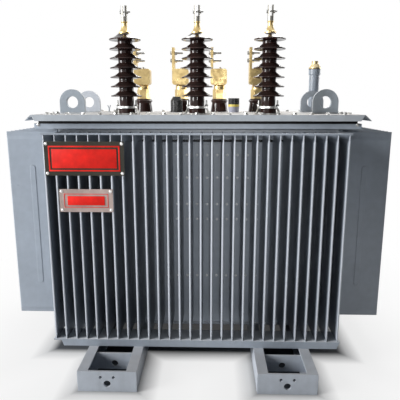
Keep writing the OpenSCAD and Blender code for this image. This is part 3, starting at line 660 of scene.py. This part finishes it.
porcelain_glaze = brown_glaze("porcelain_glaze")
terminal_brass = worn_brass("terminal_brass", (0.74, 0.57, 0.27, 1.0), roughness=0.30, tarnish=0.45)
tinned_fork = bright_zinc("tinned_fork", (0.34, 0.33, 0.30, 1.0), roughness=0.44, tarnish=0.6)
cast_foot = bright_zinc("cast_foot", (0.34, 0.34, 0.33, 1.0), roughness=0.45, tarnish=0.7)
clamp_zinc = bright_zinc("clamp_zinc", (0.86, 0.86, 0.85, 1.0), roughness=0.30, tarnish=0.2)
stud_at = 0.041
stud_r = 0.004
stud_h = 0.026
stud_turn = 0.3
nut_r = 0.0078
nut_h = 0.007
fork_bolt_up = 0.62
fork_bolt_r = 0.004
fork_bolt_over = 0.0135
fork_nut_r = 0.0085
fork_nut_in = 0.002
fork_nut_turn = 0.4
for phase in "abc":
    dress(cast_foot, f"hv_foot_{phase}")
    dress(clamp_zinc, f"hv_clamp_{phase}")
    dress(tinned_fork, f"hv_terminal_{phase}")
    for node, outline, material, slot in (
            (f"hv_porcelain_{phase}", porcelain_profile, porcelain_glaze, "dark_porcelain"),
            (f"hv_cap_{phase}", bell_profile, terminal_brass, "terminal_brass")):
        low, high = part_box(node)
        turned_form = bmesh.new()
        foot = Vector(((low.x + high.x) / 2, (low.y + high.y) / 2, low.z))
        add_turned(turned_form, Matrix.Translation(foot), outline(high.z - low.z), sides=64)
        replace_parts(add_piece(f"{node}_turned", turned_form, material), node)
    low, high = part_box(f"hv_clamp_{phase}")
    axis_x = (low.x + high.x) / 2
    axis_y = (low.y + high.y) / 2
    studs = bmesh.new()
    for way in (-1.0, 1.0):
        place = facing_place((axis_x + way * stud_at, axis_y, high.z), (0, 0, 1), stud_turn)
        add_hexagon(studs, place, nut_r, 0.0, nut_h)
        add_turned(studs, place, [(stud_r, 0.0), (stud_r, stud_h - 0.0015), (0.6 * stud_r, stud_h)], sides=16)
    add_piece(f"hv_clamp_studs_{phase}", studs, bolt_zinc)
    low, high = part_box(f"hv_terminal_{phase}")
    bolt = bmesh.new()
    cross_z = low.z + fork_bolt_up * (high.z - low.z)
    half = (high.x - low.x) / 2
    for way in (-1.0, 1.0):
        nut_at = (axis_x + way * (half - fork_nut_in), axis_y, cross_z)
        place = facing_place(nut_at, (way, 0, 0), fork_nut_turn)
        add_hexagon(bolt, place, fork_nut_r, 0.0, nut_h)
    bolt_l = 2.0 * half + fork_bolt_over
    add_turned(bolt, facing_place((axis_x - half, axis_y, cross_z), (1, 0, 0)),
               [(fork_bolt_r, 0.0), (fork_bolt_r, bolt_l - 0.0015), (0.75 * fork_bolt_r, bolt_l)], sides=16)
    add_piece(f"hv_fork_bolt_{phase}", bolt, bolt_zinc)


# Low-voltage bushings
# Each is a short brown porcelain with a heavy brass stud: hexagon nut, neck and a clamp block with an upright
# palm. Two plated bolts go through each palm, and two screws close the clamp.
palm_steel = bright_zinc("palm_steel", (0.42, 0.42, 0.41, 1.0), roughness=0.38, tarnish=0.6)
palm_t = 0.014
hole_drop = 0.026
hole_pitch = 0.040
palm_bolt_l = 0.044
palm_bolt_r = 0.006
palm_nut_r = 0.0105
palm_nut_h = 0.010
palm_head_h = 0.008
palm_head_turn = 0.2
palm_nut_turn = 0.5
palm_washer = 0.0125
palm_h = 0.110
clamp_screw_x = 0.052
clamp_screw_y = 0.019
clamp_screw_r = 0.0075
clamp_screw_h = 0.006
clamp_screw_turn = 0.25
clamp_washer = 0.0095
for phase in "abcn":
    dress(porcelain_glaze, f"lv_porcelain_{phase}")
    dress(terminal_brass, f"lv_terminal_{phase}")
    low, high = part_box(f"lv_terminal_{phase}")
    axis_y = (low.y + high.y) / 2
    clamp_top = high.z - palm_h
    bolts = bmesh.new()
    for drop in (hole_drop, hole_drop + hole_pitch):
        z = high.z - drop
        place = facing_place((low.x, axis_y, z), (-1, 0, 0), palm_head_turn)
        add_bolt(bolts, place, palm_nut_r, palm_head_h, palm_washer)
        place = facing_place((low.x + palm_t, axis_y, z), (1, 0, 0), palm_nut_turn)
        add_bolt(bolts, place, palm_nut_r, palm_nut_h, palm_washer)
        shank = [(palm_bolt_r, 0.0), (palm_bolt_r, palm_bolt_l - 0.002), (palm_bolt_r - 0.002, palm_bolt_l)]
        add_turned(bolts, place, shank, sides=16)
    add_piece(f"lv_palm_bolts_{phase}", bolts, palm_steel)
    screws = bmesh.new()
    for y in (axis_y - clamp_screw_y, axis_y + clamp_screw_y):
        place = facing_place((low.x + clamp_screw_x, y, clamp_top), (0, 0, 1), clamp_screw_turn)
        add_bolt(screws, place, clamp_screw_r, clamp_screw_h, clamp_washer)
    add_piece(f"lv_clamp_screws_{phase}", screws, palm_steel)


# Filler pipe
# A painted steel pipe with a collar stands on the cover behind the rear right lug.
# It is closed by a turned brass cap on a rubber seal.
dress(tank_enamel, "filler_pipe")
cap_brass = worn_brass("cap_brass", (0.72, 0.60, 0.36, 1.0), roughness=0.38, tarnish=0.8)
dress(cap_brass, "filler_cap")
low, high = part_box("filler_cap")
seal_over = 0.0008
seal_half_t = 0.0024
seal_cut_r = 0.0012
seal_cut_t = 0.0008
seal_r = (high.x - low.x) / 2 + seal_over
seal_profile = [(seal_r - seal_cut_r, -seal_half_t), (seal_r, seal_cut_t - seal_half_t),
                (seal_r, seal_half_t - seal_cut_t), (seal_r - seal_cut_r, seal_half_t)]
seal = bmesh.new()
pipe_top = Vector(((low.x + high.x) / 2, (low.y + high.y) / 2, low.z))
add_turned(seal, Matrix.Translation(pipe_top), seal_profile, sides=48)
add_piece("filler_seal", seal, gasket_rubber)


# Tap switch and relief valve
# The tap switch has a grey painted body with a yellow index ring and a black fluted knob, both moulded.
# The relief valve is a black ribbed cap on a round flange. Both stand in front of the low-voltage bushings.
def moulded(name, tone, pale, roughness, dust):
    """Moulded plastic with faint flow marks, chalky on its edges."""
    material, tree, shader = new_material(name)
    where = put(tree, "ShaderNodeTexCoord").outputs["Object"]
    flow = spread(tree, speckle(tree, where, 55.0, 5.0), 0.3, 0.7)
    colour = lay_over(tree, calc(tree, "MULTIPLY", flow, 0.5), tone, pale)
    colour = lay_over(tree, use(tree, edge_wear, Width=0.002, Amount=0.5, Breaks=90.0)["Mask"], colour, pale)
    colour = lay_over(tree, use(tree, settled_dust, Amount=dust)["Mask"], colour, dust_tone)
    rough = spread(tree, speckle(tree, where, 150.0, 3.0), 0.3, 0.7, roughness - 0.08, roughness + 0.08)
    finish_surface(tree, shader, colour, rough, speckle(tree, where, 500.0, 2.0), bump=0.0002, bevel=0.001)
    return material


tap_grey = grey_enamel("tap_grey", (0.42, 0.43, 0.52, 1.0), dust=0.1, grime=0.1, wear=0.2)
ring_yellow = moulded("ring_yellow", (0.78, 0.60, 0.06, 1.0), (0.90, 0.80, 0.34, 1.0),
                      roughness=0.40, dust=0.3)
black_plastic = moulded("black_plastic", (0.008, 0.008, 0.009, 1.0), (0.030, 0.030, 0.032, 1.0),
                        roughness=0.28, dust=0.08)
dress(tap_grey, "tap_body")
dress(ring_yellow, "tap_ring")
dress(black_plastic, "tap_knob", "relief_valve")


# Plates
# Two thin plates are riveted across the edges of the fins at the upper left. The large one is dark olive, the
# small one pale satin metal. Each has a plain red border and a raised red bar.
def painted_plate(name, tone, chip_tone, metallic, roughness):
    """Sheet metal with thin paint or a satin finish, chipped at its edges."""
    material, tree, shader = new_material(name)
    where = put(tree, "ShaderNodeTexCoord").outputs["Object"]
    cloudy = spread(tree, speckle(tree, where, 22.0, 5.0), 0.3, 0.7)
    darker = tuple(0.7 * c for c in tone[:3]) + (1.0,)
    colour = lay_over(tree, cloudy, tone, darker)
    chipped = use(tree, edge_wear, Width=0.002, Amount=0.7, Breaks=80.0)["Mask"]
    colour = lay_over(tree, chipped, colour, chip_tone)
    rough = spread(tree, speckle(tree, where, 140.0, 4.0), 0.3, 0.7, roughness - 0.08, roughness + 0.08)
    finish_surface(tree, shader, colour, rough, speckle(tree, where, 380.0, 2.0), bump=0.0002, bevel=0.0006)
    shader.inputs["Metallic"].default_value = metallic
    return material


def add_slab(bm, low, high, bevel):
    """Adds a slab between two corners with its edges cut off."""
    made = bmesh.ops.create_cube(bm, size=1.0)
    size = Vector(high) - Vector(low)
    middle = (Vector(high) + Vector(low)) / 2
    stretched = Matrix.Translation(middle) @ Matrix.Diagonal((*size, 1.0))
    bmesh.ops.transform(bm, verts=made["verts"], matrix=stretched)
    edges = list(dict.fromkeys(e for v in made["verts"] for e in v.link_edges))
    bmesh.ops.bevel(bm, geom=edges, offset=bevel, segments=2, affect="EDGES", profile=0.5)


def add_border(bm, low, high, y, inset, width, proud):
    """Adds a flat raised frame on the front of a plate."""
    x0, x1 = low.x + inset, high.x - inset
    z0, z1 = low.z + inset, high.z - inset
    bars = [((x0, z0), (x1, z0 + width)), ((x0, z1 - width), (x1, z1)),
            ((x0, z0 + width), (x0 + width, z1 - width)), ((x1 - width, z0 + width), (x1, z1 - width))]
    for (ax, az), (bx, bz) in bars:
        add_slab(bm, (ax, y - proud, az), (bx, y, bz), 0.2 * proud)


olive_plate = painted_plate("olive_plate", (0.040, 0.036, 0.026, 1.0), (0.16, 0.15, 0.12, 1.0),
                            metallic=0.0, roughness=0.45)
pale_plate = painted_plate("pale_plate", (0.47, 0.37, 0.34, 1.0), (0.75, 0.68, 0.64, 1.0),
                           metallic=0.2, roughness=0.42)
plate_red = painted_plate("plate_red", (0.93, 0.016, 0.008, 1.0), (0.93, 0.10, 0.06, 1.0),
                          metallic=0.0, roughness=0.55)
for dull_paint in (plate_red, olive_plate):
    dull_paint.node_tree.nodes["Principled BSDF"].inputs["Specular IOR Level"].default_value = 0.25
dress(olive_plate, "large_plate")
dress(pale_plate, "small_plate")
rivet_in = 0.009
rivet_r = 0.0046
rivet_h = 0.005
border_proud = 0.0012
bar_proud = 0.003
bar_bevel = 0.001
for name, inset, border, bar_half_w, bar_half_h in (("large_plate", 0.017, 0.006, 0.131, 0.0385),
                                                    ("small_plate", 0.019, 0.0022, 0.076, 0.019)):
    low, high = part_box(name)
    trim = bmesh.new()
    add_border(trim, low, high, low.y, inset, border, border_proud)
    middle = (low + high) / 2
    add_slab(trim, (middle.x - bar_half_w, low.y - bar_proud, middle.z - bar_half_h),
             (middle.x + bar_half_w, low.y, middle.z + bar_half_h), bar_bevel)
    add_piece(f"{name}_red_trim", trim, plate_red)
    rivets = bmesh.new()
    for x in (low.x + rivet_in, high.x - rivet_in):
        for z in (low.z + rivet_in, high.z - rivet_in):
            add_screw(rivets, facing_place((x, low.y, z), (0, -1, 0)), rivet_r, rivet_h)
    add_piece(f"{name}_rivets", rivets, clamp_zinc)


# Floor, lights and camera
# A pale studio floor with painted shadow under the tank and skids, a large soft light far to the left, others
# above the rear, in front and at the right end, and faint light all round. Two dark screens on the right show
# in glossy surfaces only. The camera stands in front, a little above the cover, and looks slightly down.
def flat_mesh(name, half, cuts, material):
    """A flat square mesh of a half width, cut into squares."""
    bm = bmesh.new()
    bmesh.ops.create_grid(bm, x_segments=cuts, y_segments=cuts, size=half)
    mesh = bpy.data.meshes.new(name)
    bm.to_mesh(mesh)
    bm.free()
    mesh.materials.append(material)
    return mesh


def seen_directly(tree):
    """1 for the rays that show the plain background: from the camera, off a gloss or through glass."""
    path = put(tree, "ShaderNodeLightPath").outputs
    mirrored = calc(tree, "MAXIMUM", path["Is Camera Ray"], path["Is Glossy Ray"])
    return calc(tree, "MAXIMUM", mirrored, path["Is Transmission Ray"])


floor_half = 14.0
floor_tones = ((0.60, 0.60, 0.60, 1.0), (0.66, 0.66, 0.66, 1.0))
shade_tone = (0.06, 0.066, 0.074, 1.0)
tank_shade_x = 0.66
tank_shade_y = 0.40
skid_shade_in = 0.004
near_glow_to = 0.09
near_glow_share = 0.78
far_glow_to = 0.8
under_glow = 0.05
floor_material, tree, shader = new_material("studio_floor")
where = put(tree, "ShaderNodeTexCoord").outputs["Object"]
apart = put(tree, "ShaderNodeSeparateXYZ", {0: where}).outputs
footprints = [(0.0, tank_shade_x, tank_shade_y)]
for side in ("left", "right"):
    low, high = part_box(f"skid_{side}_plates")
    half_w = (high.x - low.x) / 2
    footprints.append(((low.x + high.x) / 2, half_w - skid_shade_in, high.y - skid_shade_in))
out_by = None
for middle_x, half_x, half_y in footprints:
    aside = calc(tree, "ABSOLUTE", calc(tree, "SUBTRACT", apart["X"], middle_x))
    past_side = calc(tree, "SUBTRACT", aside, half_x)
    past_end = calc(tree, "SUBTRACT", calc(tree, "ABSOLUTE", apart["Y"]), half_y)
    past = calc(tree, "MAXIMUM", past_side, past_end)
    out_by = past if out_by is None else calc(tree, "MINIMUM", out_by, past)
# Painted shadow: inside the footprints of the tank and skids the floor turns near black, and the white glow
# fades out towards them; a faint glow is kept deep under the tank.
pale = lay_over(tree, speckle(tree, where, 3.0, 4.0), *floor_tones)
colour = lay_over(tree, spread(tree, out_by, -0.012, 0.03), shade_tone, pale)
tree.links.new(colour, shader.inputs["Base Color"])
shader.inputs["Roughness"].default_value = 0.7
white = put(tree, "ShaderNodeEmission", {"Color": (1.0, 1.0, 1.0, 1.0), "Strength": 1.0})
near_glow = spread(tree, out_by, -0.005, near_glow_to, 0.0, near_glow_share)
far_glow = spread(tree, out_by, near_glow_to, far_glow_to, 0.0, 1.0 - near_glow_share)
deep_under = spread(tree, calc(tree, "ABSOLUTE", apart["Y"]), 0.30, 0.22, 0.0, under_glow)
glow = calc(tree, "MAXIMUM", calc(tree, "ADD", near_glow, far_glow), deep_under)
glowing = calc(tree, "MULTIPLY", seen_directly(tree), glow)
mixed = put(tree, "ShaderNodeMixShader", {0: glowing, 1: shader.outputs[0], 2: white.outputs[0]})
tree.links.new(mixed.outputs[0], tree.nodes["Material Output"].inputs["Surface"])
floor_mesh = flat_mesh("studio_floor", floor_half, 8, floor_material)
studio_floor = bpy.data.objects.new("studio_floor", floor_mesh)
bpy.context.scene.collection.objects.link(studio_floor)
studio_floor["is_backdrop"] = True


def add_light(name, point, target, size, power, tone):
    """Adds a square soft light at a point, aimed at a target."""
    light = bpy.data.lights.new(name, "AREA")
    light.size = size
    light.energy = power
    light.color = tone
    lamp = bpy.data.objects.new(name, light)
    lamp.matrix_world = facing_place(point, Vector(point) - Vector(target))
    bpy.context.scene.collection.objects.link(lamp)


add_light("left_window", (-5.6, -2.7, 2.6), (0.0, -0.3, 0.7), size=2.8, power=510.0, tone=(1.0, 1.0, 1.0))
add_light("rear_skylight", (0.4, 2.0, 3.2), (0.0, 0.2, 0.8), size=2.2, power=115.0, tone=(1.0, 0.99, 0.97))
add_light("right_fill", (4.4, 2.2, 1.9), (0.6, 0.1, 0.7), size=2.4, power=100.0, tone=(1.0, 1.0, 1.0))

front_at = Vector((0.20, -6.0, 1.70))
front_target = Vector((0.08, -0.4, 0.68))
front_light = bpy.data.lights.new("front_light", "SPOT")
front_light.energy = 290.0
front_light.spot_size = math.radians(15.0)
front_light.spot_blend = 1.0
front_light.shadow_soft_size = 0.2
lamp = bpy.data.objects.new("front_light", front_light)
lamp.matrix_world = facing_place(front_at, front_at - front_target)
bpy.context.scene.collection.objects.link(lamp)

screen_half = 1.7
screen_tones = ((0.015, 0.015, 0.016, 1.0), (0.03, 0.03, 0.03, 1.0))
screen_material, tree, shader = new_material("dark_screen")
where = put(tree, "ShaderNodeTexCoord").outputs["Object"]
colour = lay_over(tree, speckle(tree, where, 2.0, 2.0), *screen_tones)
tree.links.new(colour, shader.inputs["Base Color"])
screen_mesh = flat_mesh("dark_screen", screen_half, 2, screen_material)
for name, point, direction in (("right_screen", (2.1, -0.7, 1.4), (-1.0, 0.0, 0.0)),
                               ("front_screen", (2.1, -3.4, 1.4), (-0.5, 0.87, 0.0))):
    dark_screen = bpy.data.objects.new(name, screen_mesh)
    dark_screen.matrix_world = facing_place(point, direction)
    dark_screen.visible_camera = False
    dark_screen.visible_diffuse = False
    dark_screen.visible_shadow = False
    bpy.context.scene.collection.objects.link(dark_screen)
    dark_screen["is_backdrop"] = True

world = bpy.data.worlds.new("studio")
world.use_nodes = True
tree = world.node_tree
ambient = tree.nodes["Background"]
ambient.inputs["Color"].default_value = (0.95, 0.98, 1.0, 1.0)
ambient.inputs["Strength"].default_value = 0.06
backdrop = put(tree, "ShaderNodeBackground", {"Color": (1.0, 1.0, 1.0, 1.0), "Strength": 1.0})
mixed = put(tree, "ShaderNodeMixShader",
            {0: seen_directly(tree), 1: ambient.outputs[0], 2: backdrop.outputs[0]})
tree.links.new(mixed.outputs[0], tree.nodes["World Output"].inputs["Surface"])
bpy.context.scene.world = world

look_down = 0.2078
look_left = 0.027
camera = bpy.data.cameras.new("front_camera")
camera.sensor_width = 36.0
camera.lens = 42.09
view_point = bpy.data.objects.new("front_camera", camera)
view_point.location = (0.0692, -2.3723, 1.1326)
view_point.rotation_euler = (math.radians(90.0) - look_down, 0.0, look_left)
bpy.context.scene.collection.objects.link(view_point)
bpy.context.scene.camera = view_point
bpy.context.scene.view_settings.view_transform = "Standard"

low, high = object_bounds()
